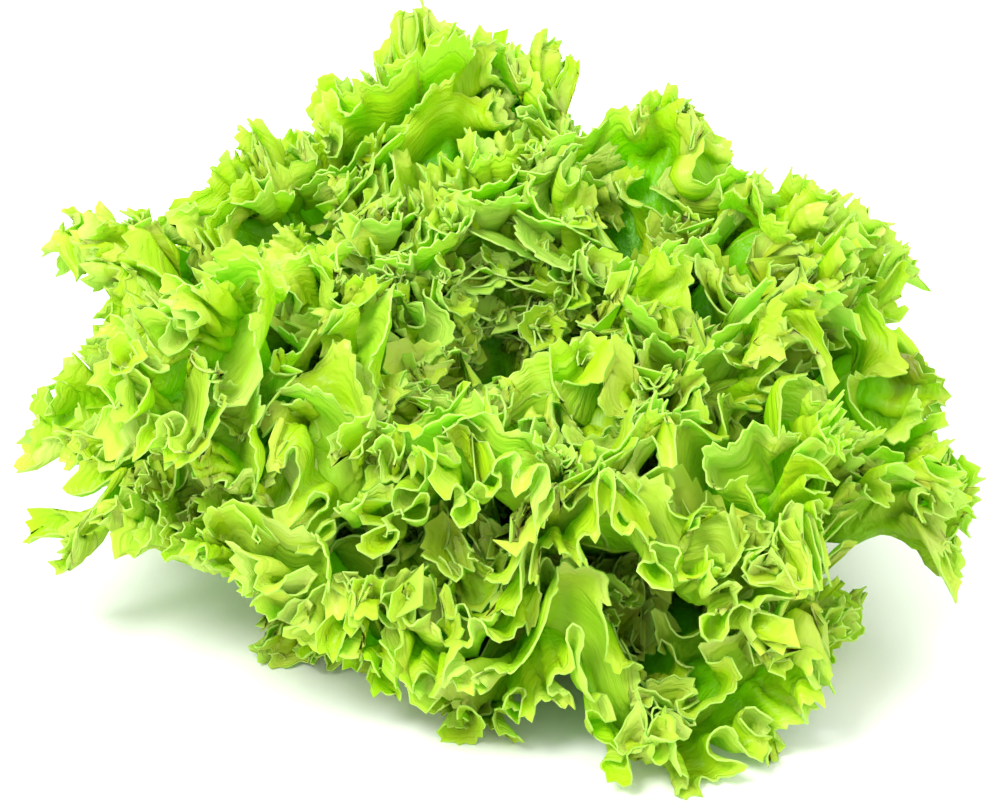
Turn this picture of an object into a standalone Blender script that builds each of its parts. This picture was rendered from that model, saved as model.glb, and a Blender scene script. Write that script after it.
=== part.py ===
"""A head of green curly-leaf lettuce, standing on its cut stem with its outer leaves on the table.

Every leaf is one thin solid. Its smooth form is a fan rolled on to a cone round the stem, and the
cones lie one inside the next, so the smooth leaves never meet. The whole head then droops, flares
and swells by rules that keep the order of everything in it, and last come the frills, which grow
towards each leaf's margin. No point of a frill moves by more than its share of the way to the next
leaf, which keeps the leaves apart.

Metres and radians, +Z up. The origin is the middle of the stem's cut face, on the table.
"""

import math

import bpy
import numpy as np

# The head
LEAF_COUNT = 26
OUTER_LEAVES = 9
MIDDLE_LEAVES = 10
GOLDEN_ANGLE = math.radians(137.508)
FIRST_AZIMUTH = math.radians(-72)
SEED = 7

# The stem, a stubby cone cut flat at its foot
STEM_HEIGHT = 0.042
STEM_FOOT_RADIUS = 0.0165
STEM_TOP_RADIUS = 0.0055
STEM_SIDES = 24
LOWEST_LEAF_Z = 0.006
HIGHEST_LEAF_Z = 0.038

# The leaves, from the outermost to the innermost
LEAN = (math.radians(4), math.radians(82))
LEAN_POWER = 0.75
LENGTH = (0.138, 0.036)
HALF_WIDTH = (0.056, 0.020)
SHORTENING = (0.42, 0.95)
SIZE_SPREAD = 0.13
WIDEST_AT = 0.44
# The tall leaf at the back and those that stand in front of it: length and half width
TALL_LEAVES = {
    17: (0.140, 0.046),
    20: (0.085, 0.038),
    22: (0.104, 0.040),
    25: (0.086, 0.034),
}
SPREAD = (math.radians(86), math.radians(56))
BASE_WIDTH = (0.026, 0.012)
WIDEST_WRAP = (math.radians(105), math.radians(75))

# Thickness of the blade and of the rib down its middle
BLADE = 0.0008
RIB = (0.0042, 0.0018)
RIB_HALF_WIDTH = 0.22
GAP = 0.0006

# How the head droops, flares and swells
DROOP = 0.14
DROOP_RANGE = (0.050, 0.180)
FLARE = 0.013
FLARE_RANGE = (0.050, 0.160)
LIFT = 0.015
HEAD_RADIUS = 0.150
# Where it turns round the stem: azimuth, width and turn in degrees
TURNS = (
    (100, 16, -12),
    (-104, 16, -16),
    (-50, 12, 6),
    (-14, 9, -6),
    (-126, 14, -8),
)
# Where it sinks lower, or with a minus rises: azimuth and width in degrees, and how strongly
SINKS = (
    (-85, 30, 0.62),
    (-28, 14, 0.20),
    (4, 14, -0.25),
    (-165, 14, -0.30),
)
SINK_RANGE = (0.012, 0.075)
SWELL_RANGE = (0.030, 0.090)
# Where it reaches further out or less far: azimuth and elevation in degrees, width, gain
SWELLS = (
    (-74, 4, 15, 0.01),
    (-93, 3, 10, -0.30),
    (-128, 4, 14, 0.18),
    (-16, 7, 9, -0.17),
    (-38, 3, 13, 0.17),
    (108, 60, 13, 0.21),
    (62, 48, 12, -0.03),
    (42, 46, 10, 0.14),
    (20, 38, 12, 0.02),
    (2, 25, 9, 0.16),
    (179, 12, 11, 0.24),
    (-158, 3, 13, -0.19),
    (150, 40, 11, 0.12),
    (168, 34, 9, -0.04),
    (128, 50, 10, -0.08),
    (-90, 55, 30, -0.10),
    (90, 5, 35, -0.14),
)

# The folds and frills
FOLD_WAVE = 0.090
FOLD_DEPTH = 0.016
FRILL_WAVE = 0.027
FRILL_DEPTH = 0.017
FRILL_ZONE = 0.055
SHARE = 0.30
ROUNDS = 2

# The working grid that every leaf is worked out on, across and along
ACROSS = 160
ALONG = 24
STEP = 2
CHUNKS = (16, 3)
ROOM_SEEN = 0.036
RINGS = (0, 6, 12, 18, 24)
SKIPS = (4, 2, 2, 1, 1)

COLOURS = {
    "outer": (0.30, 0.62, 0.03, 1),
    "middle": (0.40, 0.72, 0.04, 1),
    "heart": (0.55, 0.80, 0.10, 1),
    "stem": (0.80, 0.86, 0.55, 1),
}


def between(pair, share):
    """The value that lies this share of the way from the first of a pair to the second."""
    return pair[0] + (pair[1] - pair[0]) * share


def smooth_step(low, high, value):
    """0 below low, 1 above high, and an S-curve in between."""
    t = np.clip((value - low) / (high - low), 0, 1)
    return t * t * (3 - 2 * t)


def stem_radius(z):
    return between((STEM_FOOT_RADIUS, STEM_TOP_RADIUS), z / STEM_HEIGHT)


def leaf_facts(number):
    """One leaf's place on the stem and its size. Leaf 0 is the outermost."""
    share = number / (LEAF_COUNT - 1)
    random = np.random.default_rng(SEED + number)
    lean = between(LEAN, share**LEAN_POWER)
    height = between((LOWEST_LEAF_Z, HIGHEST_LEAF_Z), share)
    rib = between(RIB, share)
    length, half_width = (
        between(pair, smooth_step(*SHORTENING, share)) for pair in (LENGTH, HALF_WIDTH)
    )
    length, half_width = TALL_LEAVES.get(number, (length, half_width))
    return {
        "share": share,
        "azimuth": FIRST_AZIMUTH + number * GOLDEN_ANGLE,
        "lean": lean,
        "height": height,
        "rib": rib,
        "length": length * (1 + random.uniform(-SIZE_SPREAD, SIZE_SPREAD)),
        "half_width": half_width * (1 + random.uniform(-SIZE_SPREAD, SIZE_SPREAD)),
        "spread": between(SPREAD, share),
        "base": between(BASE_WIDTH, share),
        "start": stem_radius(height) + GAP + rib / 2 * math.sin(lean),
        "random": random,
    }


def working_grid():
    """The two parameters: across from -1 to 1, and along from 0 at the stem to 1 at the margin."""
    return np.meshgrid(
        np.linspace(-1, 1, ACROSS + 1), np.linspace(0, 1, ALONG + 1), indexing="ij"
    )


def off_from(azimuth, at):
    """How far each azimuth is from one given in degrees, the short way round."""
    return np.angle(np.exp(1j * (azimuth - math.radians(at))))


def settled(points):
    """The form of the whole head, from upright cones. In turn: far from the stem everything sinks
    to a lower elevation angle; the head reaches further in some directions and less far in others;
    it sinks lower and turns round the stem in places; it flares out as it rises; and it lifts in
    broad folds towards its rim. Each is a one-to-one map
    of space that moves points along one coordinate, so leaves that were apart stay apart."""
    x, y, z = np.moveaxis(points, -1, 0)
    radius, azimuth = np.hypot(x, y), np.arctan2(y, x)
    distance, elevation = np.hypot(radius, z), np.arctan2(z, radius)
    elevation = elevation * (1 - DROOP * smooth_step(*DROOP_RANGE, distance))
    gain = 1
    for at, up, width, size in SWELLS:
        off = off_from(azimuth, at) * np.cos(elevation)
        away = np.hypot(off, elevation - math.radians(up)) / math.radians(width)
        gain = gain + size * np.exp(-(away**2) / 2)
    distance = distance * (1 + (gain - 1) * smooth_step(*SWELL_RANGE, distance))
    for at, width, share in SINKS:
        near = np.exp(-((off_from(azimuth, at) / math.radians(width)) ** 2) / 2)
        near = near * smooth_step(*SINK_RANGE, distance) * (1 - elevation / (math.pi / 2))
        elevation = elevation * (1 - share * near)
    for at, width, turn in TURNS:
        near = np.exp(-((off_from(azimuth, at) / math.radians(width)) ** 2) / 2)
        azimuth = azimuth + math.radians(turn) * near
    radius, z = distance * np.cos(elevation), distance * np.sin(elevation)
    turn = 0.6 + 0.4 * np.sin(5 * azimuth + 1.2 * np.sin(2 * azimuth))
    radius = radius + FLARE * smooth_step(*FLARE_RANGE, z) * turn
    fold = 0.5 + 0.5 * np.sin(7 * azimuth + 1.6 * np.sin(2 * azimuth + 1))
    z = z + LIFT * np.minimum(radius / HEAD_RADIUS, 1.2) ** 2 * fold
    return np.stack([radius * np.cos(azimuth), radius * np.sin(azimuth), z], -1)


def line_lengths(leaf, fan):
    """How long each line of the leaf's fan is: the foot of the fan lies inside an ellipse, whose
    long axis is the rib, and the lines end on it."""
    centre = WIDEST_AT * leaf["length"]
    long, wide = leaf["length"] - centre, leaf["half_width"]
    square = (np.cos(fan) / long) ** 2 + (np.sin(fan) / wide) ** 2
    root = np.sqrt(square - (centre * np.sin(fan) / (long * wide)) ** 2)
    return (centre * np.cos(fan) / long**2 + root) / square


def smooth_leaf(leaf):
    """The leaf with no frills: lines fan out from an arc at the stem to the outline, and the flat
    fan is rolled on to the leaf's cone without stretching."""
    across, along = working_grid()
    slope = math.cos(leaf["lean"])
    apex = leaf["start"] / slope
    turn = across * leaf["base"] / 2 / apex
    fan = across * leaf["spread"]
    out = along * line_lengths(leaf, fan)
    side = apex * np.sin(turn) + out * np.sin(fan)
    ahead = apex * np.cos(turn) + out * np.cos(fan)
    widest = between(WIDEST_WRAP, leaf["share"])
    wrap = widest * np.tanh(np.arctan2(side, ahead) / slope / widest)
    distance = np.hypot(side, ahead)
    radius = distance * slope
    bearing = leaf["azimuth"] + wrap
    height = leaf["height"] + (distance - apex) * math.sin(leaf["lean"])
    return settled(
        np.stack([radius * np.cos(bearing), radius * np.sin(bearing), height], -1)
    )


def unit(vectors):
    return vectors / np.maximum(np.linalg.norm(vectors, axis=-1, keepdims=True), 1e-12)


def frames(points):
    """At each point of a grid: the way across, the way out to the margin, and the upper side."""
    across = unit(np.gradient(points, axis=0))
    out = np.gradient(points, axis=1)
    up = unit(np.cross(across, out))
    return across, np.cross(up, across), up


def thickness(leaf):
    """Blade all over, and thicker along the middle near the stem."""
    across, along = working_grid()
    rib = np.exp(-((across / RIB_HALF_WIDTH) ** 2)) * (1 - smooth_step(0.05, 0.75, along))
    return BLADE + (leaf["rib"] - BLADE) * rib


def tiles_of(points, thick):
    """A leaf as small flat tiles, one for each cell of a coarser grid: the middle of each, its
    three directions and half its size in each of them."""
    grid = points[::STEP, ::STEP]
    corners = grid[:-1, :-1], grid[1:, :-1], grid[1:, 1:], grid[:-1, 1:]
    middle = sum(corners) / 4
    side = (corners[1] + corners[2] - corners[0] - corners[3]) / 4
    out = (corners[2] + corners[3] - corners[0] - corners[1]) / 4
    ways = np.stack([unit(side), out, np.cross(side, out)], -2)
    ways[..., 2, :] = unit(ways[..., 2, :])
    ways[..., 1, :] = np.cross(ways[..., 2, :], ways[..., 0, :])
    half = np.stack(
        [
            np.linalg.norm(side, axis=-1),
            np.abs((out * ways[..., 1, :]).sum(-1)),
            thick[::STEP, ::STEP][:-1, :-1] / 2,
        ],
        -1,
    )
    return middle.reshape(-1, 3), ways.reshape(-1, 3, 3), half.reshape(-1, 3)


def nearest(spots, middle, ways, half):
    """How far each spot is from the nearest tile, or ROOM_SEEN if that is less. Along each of a
    tile's directions it takes what is left of the offset past its half size, and joins the three."""
    close = (middle > spots.min(0) - ROOM_SEEN) & (middle < spots.max(0) + ROOM_SEEN)
    close = close.all(axis=-1)
    square = np.full((len(spots), 1), ROOM_SEEN**2, np.float32)
    if close.any():
        seen = 0
        for axis in range(3):
            way = ways[close, axis].astype(np.float32)
            off = spots.astype(np.float32) @ way.T
            off -= (middle[close] * way).sum(-1).astype(np.float32)
            np.abs(off, out=off)
            off -= half[close, axis].astype(np.float32)
            np.maximum(off, 0, out=off)
            off *= off
            seen = seen + off
        square = np.minimum(square, seen.min(axis=1, keepdims=True))
    return np.sqrt(square[:, 0])


def room(grids, thick):
    """For each leaf, how far each point may move: its share of the way to the nearest tile of
    another leaf, and no further than the table."""
    tiles = [tiles_of(*each) for each in zip(grids, thick)]
    found = []
    for number, points in enumerate(grids):
        others = [each for other, each in enumerate(tiles) if other != number]
        middle, ways, half = (np.concatenate(each) for each in zip(*others))
        probes = points[::STEP, ::STEP]
        near = np.concatenate(
            [
                np.concatenate(
                    [
                        nearest(block.reshape(-1, 3), middle, ways, half).reshape(block.shape[:2])
                        for block in np.array_split(part, CHUNKS[1], axis=1)
                    ],
                    axis=1,
                )
                for part in np.array_split(probes, CHUNKS[0])
            ]
        )
        own = thick[number][::STEP, ::STEP] / 2
        free = SHARE * np.maximum(near - own - GAP, 0)
        found.append(finer(np.minimum(free, np.maximum(probes[..., 2] - own, 0))))
    return found


def finer(coarse):
    """Values on every few lines of the working grid, filled in by straight lines between them."""
    whole_u, whole_v = np.arange(ACROSS + 1), np.arange(ALONG + 1)
    known_u = np.linspace(0, ACROSS, coarse.shape[0])
    known_v = np.linspace(0, ALONG, coarse.shape[1])
    rows = np.stack([np.interp(whole_v, known_v, row) for row in coarse])
    return np.stack([np.interp(whole_u, known_u, column) for column in rows.T], 1)


def limited(move, free):
    """Each move, no longer than the room there."""
    size = np.linalg.norm(move, axis=-1)
    return move * (free / np.maximum(size, np.maximum(free, 1e-9)))[..., None]


def frilled(leaf, points):
    """Broad folds of the blade, and frills near its margin. A frill swings from side to side across
    the blade, and leans over itself at its crests, as a strip does that is longer than the edge it
    is sewn to. Also returns the phase of the frills on each line."""
    across, along = working_grid()
    steps = np.linalg.norm(np.diff(points[:, -1], axis=0), axis=-1)
    arc = np.concatenate([[0], np.cumsum(steps)])
    count = max(6, round(arc[-1] / FRILL_WAVE))
    wave = arc[-1] / count
    drift = leaf["random"].uniform(0, 2 * math.pi, 4)
    phase = 2 * math.pi * arc / wave + drift[0] + 0.8 * np.sin(arc / 0.031 + drift[1])
    line = line_lengths(leaf, across * leaf["spread"])
    grown = np.clip(1 - (1 - along) * line / np.minimum(FRILL_ZONE, 0.8 * line), 0, 1) ** 1.3
    uneven = 0.85 + 0.25 * np.sin(0.37 * phase + drift[2])[:, None]
    depth = FRILL_DEPTH * min(1.0, wave / FRILL_WAVE) * grown * uneven
    lean = depth**2 * 2 * math.pi / wave / 9
    fold = np.sin(2 * math.pi * arc / FOLD_WAVE + drift[3])[:, None] * smooth_step(0.25, 1, along)
    size = FOLD_DEPTH * leaf["length"] / LENGTH[0]
    across, out, up = frames(points)
    move = up * (depth * np.cos(phase)[:, None] + size * fold)[..., None]
    move = move + across * (lean * np.sin(2 * phase)[:, None])[..., None]
    move = move - out * (0.35 * depth)[..., None]
    return points + move, phase


def eased(grids, wanted, thick):
    """The leaves moved from one form towards another in rounds, each point no further than the
    room that all leaves leave it in that round, and none into the table."""
    for _ in range(ROUNDS):
        free = room(grids, thick)
        grids = [
            here + limited(there - here, reach)
            for here, there, reach in zip(grids, wanted, free)
        ]
        for points, each in zip(grids, thick):
            points[..., 2] = np.maximum(points[..., 2], each / 2)
    return grids


def rings_of(phase):
    """The grid columns used on each ring: on the outer rings those at the crests, hollows and
    crossings of the frills, and further in every few of them."""
    quarter = math.pi / 2
    turns = quarter * np.arange(math.ceil(phase[0] / quarter), phase[-1] / quarter)
    found = np.interp(turns, phase, np.arange(ACROSS + 1)).round().astype(int)
    inside = found[(found > 1) & (found < ACROSS - 1)]
    return [[0, *inside[skip // 2 :: skip].tolist(), ACROSS] for skip in SKIPS]


def strip(inner, outer, first, second):
    """Triangles between two rows of columns, whose vertices are numbered from first and second.
    Each takes its next corner on the row that lags behind."""
    faces, i, j = [], 0, 0
    while i < len(inner) - 1 or j < len(outer) - 1:
        last_in, last_out = i == len(inner) - 1, j == len(outer) - 1
        if last_out or (not last_in and inner[i] + inner[i + 1] < outer[j] + outer[j + 1]):
            faces.append((first + i, second + j, first + i + 1))
            i += 1
        else:
            faces.append((first + i, second + j, second + j + 1))
            j += 1
    return faces


def make_material(name, colour, roughness):
    material = bpy.data.materials.new(name)
    material.use_nodes = True
    shader = material.node_tree.nodes["Principled BSDF"]
    shader.inputs["Base Color"].default_value = colour
    shader.inputs["Roughness"].default_value = roughness
    shader.inputs["Metallic"].default_value = 0
    return material


def add_object(name, mesh, material):
    mesh.materials.append(material)
    thing = bpy.data.objects.new(name, mesh)
    bpy.context.scene.collection.objects.link(thing)
    return thing


def add_leaf(name, material, points, thick, phase):
    """The leaf's middle surface in triangles, thickened to both sides of it."""
    rings = rings_of(phase)
    columns = np.concatenate(rings)
    lines = np.repeat(RINGS, [len(ring) for ring in rings])
    starts = np.cumsum([0] + [len(ring) for ring in rings])
    faces = []
    for pair in zip(rings[:-1], rings[1:], starts[:-1].tolist(), starts[1:].tolist()):
        faces += strip(*pair)
    mesh = bpy.data.meshes.new(name)
    mesh.from_pydata(points[columns, lines].tolist(), [], faces)
    leaf = add_object(name, mesh, material)
    group = leaf.vertex_groups.new(name="thickness")
    sizes = thick[columns, lines]
    for index, size in enumerate(sizes.tolist()):
        group.add([index], size / sizes.max(), "REPLACE")
    solid = leaf.modifiers.new("thickness", "SOLIDIFY")
    solid.thickness = sizes.max()
    solid.offset = 0
    solid.use_even_offset = False
    solid.vertex_group = group.name
    return leaf


def add_stem(material):
    """A turned profile: the cut face, the flank and a rounded top."""
    profile = [
        (0.0, 0.0),
        (STEM_FOOT_RADIUS - 0.001, 0.0),
        (STEM_FOOT_RADIUS, 0.001),
        (stem_radius(STEM_HEIGHT / 2), STEM_HEIGHT / 2),
        (STEM_TOP_RADIUS, STEM_HEIGHT - 0.002),
        (STEM_TOP_RADIUS - 0.002, STEM_HEIGHT),
        (0.0, STEM_HEIGHT),
    ]
    mesh = bpy.data.meshes.new("stem")
    edges = [(i, i + 1) for i in range(len(profile) - 1)]
    mesh.from_pydata([(radius, 0, z) for radius, z in profile], edges, [])
    stem = add_object("stem", mesh, material)
    turned = stem.modifiers.new("turned", "SCREW")
    turned.angle = -2 * math.pi
    turned.steps = turned.render_steps = STEM_SIDES
    turned.use_merge_vertices = True
    turned.merge_threshold = 1e-6
    return stem


def leaf_name(number):
    """The kind of leaf and its full name, with each kind counted from its outermost leaf."""
    kinds = (
        ("outer", OUTER_LEAVES),
        ("middle", MIDDLE_LEAVES),
        ("heart", LEAF_COUNT - OUTER_LEAVES - MIDDLE_LEAVES),
    )
    for kind, count in kinds:
        if number < count:
            break
        number -= count
    return kind, f"{kind}_leaf_{number + 1:02d}"


def clear_scene():
    for thing in list(bpy.data.objects):
        bpy.data.objects.remove(thing, do_unlink=True)


def main():
    clear_scene()
    materials = {
        kind: make_material(kind, colour, 0.45) for kind, colour in COLOURS.items()
    }
    leaves = [leaf_facts(number) for number in range(LEAF_COUNT)]
    thick = [thickness(leaf) for leaf in leaves]
    grids = [smooth_leaf(leaf) for leaf in leaves]
    waved = [frilled(*each) for each in zip(leaves, grids)]
    grids = eased(grids, [points for points, _ in waved], thick)
    for number, points in enumerate(grids):
        kind, name = leaf_name(number)
        add_leaf(name, materials[kind], points, thick[number], waved[number][1])
    add_stem(materials["stem"])


main()
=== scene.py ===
"""A loosely open head of green curly-leaf lettuce on a pale table.

The head is put together from its stem outwards: the cut stem, then the form of the whole rosette,
and then the outer, middle and heart leaves. Metres and radians, +Z up, with the origin at the middle
of the stem's cut face. Colours are sRGB hex values.
"""

import math

import bpy
import numpy as np
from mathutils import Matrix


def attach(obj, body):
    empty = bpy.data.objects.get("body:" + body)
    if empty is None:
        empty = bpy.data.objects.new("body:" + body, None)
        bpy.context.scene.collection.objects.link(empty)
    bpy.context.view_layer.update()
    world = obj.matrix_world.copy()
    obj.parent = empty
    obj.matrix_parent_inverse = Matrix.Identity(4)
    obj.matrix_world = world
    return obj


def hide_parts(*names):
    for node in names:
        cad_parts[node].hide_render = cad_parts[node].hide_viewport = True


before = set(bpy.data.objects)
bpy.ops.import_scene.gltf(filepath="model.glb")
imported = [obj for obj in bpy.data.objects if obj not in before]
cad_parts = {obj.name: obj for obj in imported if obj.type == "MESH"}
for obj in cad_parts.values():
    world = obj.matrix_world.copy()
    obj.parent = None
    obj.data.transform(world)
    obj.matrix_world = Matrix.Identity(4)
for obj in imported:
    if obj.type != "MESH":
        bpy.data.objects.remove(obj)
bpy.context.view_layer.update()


# The setting: a pale seamless table under one large soft lamp, a softer one across from it and a
# lamp behind, which shines through the thin leaves. The camera looks down on the head from in front.

CAMERA_ELEVATION = math.radians(27)
CAMERA_DISTANCE = 0.783
CAMERA_LENS_MM = 85
AIM = (0.0014, -0.010, 0.0604)
TABLE_SIZE = 6.0
TABLE_COLOUR = "#f4f5f2"
SKY_COLOUR = "#ffffff"
SKY_STRENGTH = 1.12
# Each lamp's place, size and power in watts
LAMPS = {
    "soft lamp over the left shoulder": ((-0.6, -0.5, 1.1), 0.6, 15.5),
    "fill lamp on the right": ((1.0, -0.6, 0.6), 0.8, 4),
    "lamp behind": ((0.25, 1.0, 0.9), 0.6, 10),
}


def linear(colour):
    """An sRGB hex colour as linear red, green, blue and alpha, by the sRGB curve."""
    parts = [int(colour[i : i + 2], 16) / 255 for i in (1, 3, 5)]
    return (*[p / 12.92 if p < 0.04045 else ((p + 0.055) / 1.055) ** 2.4 for p in parts], 1)


def add(tree, kind, settings=None, inputs=None):
    """Adds a node, sets its properties, and sets its inputs: to a value, or linked to a socket."""
    made = tree.nodes.new(kind)
    for name, value in (settings or {}).items():
        setattr(made, name, value)
    for name, value in (inputs or {}).items():
        if isinstance(value, bpy.types.NodeSocket):
            tree.links.new(value, made.inputs[name])
        else:
            made.inputs[name].default_value = value
    return made


def new_material(name):
    """A material with an empty node tree and its output node."""
    material = bpy.data.materials.new(name)
    material.use_nodes = True
    material.node_tree.nodes.clear()
    return material, material.node_tree, add(material.node_tree, "ShaderNodeOutputMaterial")


def place(name, data):
    made = bpy.data.objects.new(name, data)
    bpy.context.scene.collection.objects.link(made)
    return made


def look_at(thing, spot, target):
    """Stands a camera or lamp at a spot, turned so that its -Z axis points at the target."""
    thing.location = spot
    away = np.subtract(target, spot)
    thing.rotation_euler = (
        math.atan2(math.hypot(away[0], away[1]), -away[2]),
        0,
        math.atan2(away[0], -away[1]) + math.pi,
    )


camera = place("camera", bpy.data.cameras.new("camera"))
camera.data.lens = CAMERA_LENS_MM
camera.data.clip_start = 0.05
back_off = CAMERA_DISTANCE * np.array([0, -math.cos(CAMERA_ELEVATION), math.sin(CAMERA_ELEVATION)])
look_at(camera, np.add(AIM, back_off), AIM)
bpy.context.scene.camera = camera

for lamp_name, (spot, size, power) in LAMPS.items():
    lamp = place(lamp_name, bpy.data.lights.new(lamp_name, "AREA"))
    lamp.data.shape = "DISK"
    lamp.data.size = size
    lamp.data.energy = power
    look_at(lamp, spot, (0, 0, 0.06))

sky = bpy.data.worlds.new("soft surround")
sky.use_nodes = True
sky.node_tree.nodes["Background"].inputs["Color"].default_value = linear(SKY_COLOUR)
sky.node_tree.nodes["Background"].inputs["Strength"].default_value = SKY_STRENGTH
bpy.context.scene.world = sky
bpy.context.scene.view_settings.view_transform = "Standard"
# Light is followed through a few leaves only: past those it is too faint to see
bpy.context.scene.cycles.transmission_bounces = 3
bpy.context.scene.cycles.glossy_bounces = 1
bpy.context.scene.cycles.max_bounces = 4

# Matte painted board: an even pale surface with no gloss that would mirror the leaves
table_finish, tree, out = new_material("matte painted board")
board = add(tree, "ShaderNodeBsdfPrincipled", None, {"Base Color": linear(TABLE_COLOUR), "Roughness": 0.9})
tree.links.new(board.outputs[0], out.inputs["Surface"])
half = TABLE_SIZE / 2
table_mesh = bpy.data.meshes.new("table")
table_corners = [(-half, -half, 0), (half, -half, 0), (half, half, 0), (-half, half, 0)]
table_mesh.from_pydata(table_corners, [], [(0, 1, 2, 3)])
table_mesh.materials.append(table_finish)
table = place("table", table_mesh)


# The stem: a stubby cone of pale moist flesh, cut flat where the head was harvested. The leaves
# grow from its flank. Its cut face is the head's foot.

STEM_HEIGHT = 0.042
STEM_FOOT_RADIUS = 0.0165
STEM_TOP_RADIUS = 0.0055
STEM_EDGE = 0.001
STEM_COLUMNS = 96
STEM_FLESH, STEM_GREEN, STEM_CUT = "#e6edc4", "#c3da86", "#d9cfa0"


def stem_radius(z):
    """A straight taper from the foot to the top."""
    return STEM_FOOT_RADIUS + (STEM_TOP_RADIUS - STEM_FOOT_RADIUS) * z / STEM_HEIGHT


def put(name, points, faces, materials):
    """A mesh object from arrays of points and of faces, each face a row of 3 or 4 point numbers."""
    mesh = bpy.data.meshes.new(name)
    mesh.from_pydata(points.reshape(-1, 3).tolist(), [], [row for part in faces for row in part.tolist()])
    for material in materials:
        mesh.materials.append(material)
    mesh.shade_smooth()
    return place(name, mesh)


def turned(profile, columns):
    """A profile of (radius, height) pairs carried round the Z axis, closed at its poles: the points
    of each ring lie at radius times the cosine and sine of evenly spaced angles."""
    angle = np.linspace(0, 2 * math.pi, columns, endpoint=False)
    radius, height = np.array(profile[1:-1]).T
    ring = np.stack(
        [
            radius[:, None] * np.cos(angle),
            radius[:, None] * np.sin(angle),
            np.repeat(height[:, None], columns, 1),
        ],
        -1,
    )
    poles = np.array([[0, 0, profile[0][1]], [0, 0, profile[-1][1]]])
    index = np.arange(len(radius) * columns).reshape(-1, columns)
    turn = np.roll(index, -1, 1)
    walls = np.stack([index[:-1], turn[:-1], turn[1:], index[1:]], -1).reshape(-1, 4)
    first, last = index.size, index.size + 1
    foot = np.stack([np.full(columns, first), turn[0], index[0]], -1)
    top = np.stack([np.full(columns, last), index[-1], turn[-1]], -1)
    return np.concatenate([ring.reshape(-1, 3), poles]), [walls, foot, top]


# Cut lettuce stem: wet, slightly see-through flesh with fine fibres, greener up the flank and a
# little browned on the cut face
stem_finish, tree, out = new_material("cut lettuce stem")
where = add(tree, "ShaderNodeTexCoord").outputs["Object"]
grain = add(tree, "ShaderNodeTexNoise", None, {"Vector": where, "Scale": 700.0, "Detail": 3.0})
height = add(tree, "ShaderNodeSeparateXYZ", None, {"Vector": where}).outputs["Z"]
up_flank = add(tree, "ShaderNodeMapRange", None, {"Value": height, "From Min": 0.0008, "From Max": 0.02})
flesh = add(
    tree,
    "ShaderNodeMix",
    {"data_type": "RGBA"},
    {0: grain.outputs["Fac"], 6: linear(STEM_FLESH), 7: linear(STEM_CUT)},
)
flank = add(
    tree,
    "ShaderNodeMix",
    {"data_type": "RGBA"},
    {0: up_flank.outputs["Result"], 6: flesh.outputs[2], 7: linear(STEM_GREEN)},
)
fibres = add(
    tree, "ShaderNodeBump", None, {"Height": grain.outputs["Fac"], "Strength": 0.4, "Distance": 0.0004}
)
stem_skin = add(
    tree,
    "ShaderNodeBsdfPrincipled",
    None,
    {"Base Color": flank.outputs[2], "Roughness": 0.4, "IOR": 1.4, "Normal": fibres.outputs["Normal"]},
)
tree.links.new(stem_skin.outputs[0], out.inputs["Surface"])

rise = np.linspace(STEM_EDGE, STEM_HEIGHT - 2 * STEM_EDGE, 20)
flank_profile = [(stem_radius(z), z) for z in rise]
stem_profile = [
    (0, 0),
    (STEM_FOOT_RADIUS - STEM_EDGE, 0),
    (STEM_FOOT_RADIUS - 0.3 * STEM_EDGE, 0.3 * STEM_EDGE),
    *flank_profile,
    (STEM_TOP_RADIUS - 2 * STEM_EDGE, STEM_HEIGHT),
    (0, STEM_HEIGHT),
]
stem = put("cut_stem", *turned(stem_profile, STEM_COLUMNS), [stem_finish])
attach(stem, "root")
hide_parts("stem")


# The rosette: soft leaves set round the stem by the golden angle, from the outermost, which lies on
# the table, to the small upright ones at the heart. This section gives the form of every leaf, with
# no detail yet: nested cones, which droop, flare and swell together, and their first broad frills.

LEAF_COUNT = 26
OUTER_LEAVES = 9
MIDDLE_LEAVES = 10
GOLDEN_ANGLE = math.radians(137.508)
FIRST_AZIMUTH = math.radians(-72)
SEED = 7
LOWEST_LEAF_Z = 0.006
HIGHEST_LEAF_Z = 0.038
LEAN = (math.radians(4), math.radians(82))
LEAN_POWER = 0.75
LENGTH = (0.138, 0.036)
HALF_WIDTH = (0.056, 0.020)
SHORTENING = (0.42, 0.95)
SIZE_SPREAD = 0.13
WIDEST_AT = 0.44
# The tall leaf at the back and those that stand in front of it: length and half width
TALL_LEAVES = {
    17: (0.140, 0.046),
    20: (0.085, 0.038),
    22: (0.104, 0.040),
    25: (0.086, 0.034),
}
SPREAD = (math.radians(86), math.radians(56))
BASE_WIDTH = (0.026, 0.012)
WIDEST_WRAP = (math.radians(105), math.radians(75))
BLADE = 0.0008
RIB = (0.0042, 0.0018)
RIB_HALF_WIDTH = 0.22
GAP = 0.0006
DROOP = 0.14
DROOP_RANGE = (0.050, 0.180)
FLARE = 0.013
FLARE_RANGE = (0.050, 0.160)
LIFT = 0.015
HEAD_RADIUS = 0.150
# Where the head turns round the stem: azimuth, width and turn in degrees
TURNS = (
    (100, 16, -12),
    (-104, 16, -16),
    (-50, 12, 6),
    (-14, 9, -6),
    (-126, 14, -8),
)
# Where the head sinks lower, or with a minus rises: azimuth and width in degrees, and how strongly
SINKS = (
    (-85, 30, 0.62),
    (-28, 14, 0.20),
    (4, 14, -0.25),
    (-165, 14, -0.30),
)
SINK_RANGE = (0.012, 0.075)
SWELL_RANGE = (0.030, 0.090)
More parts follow.
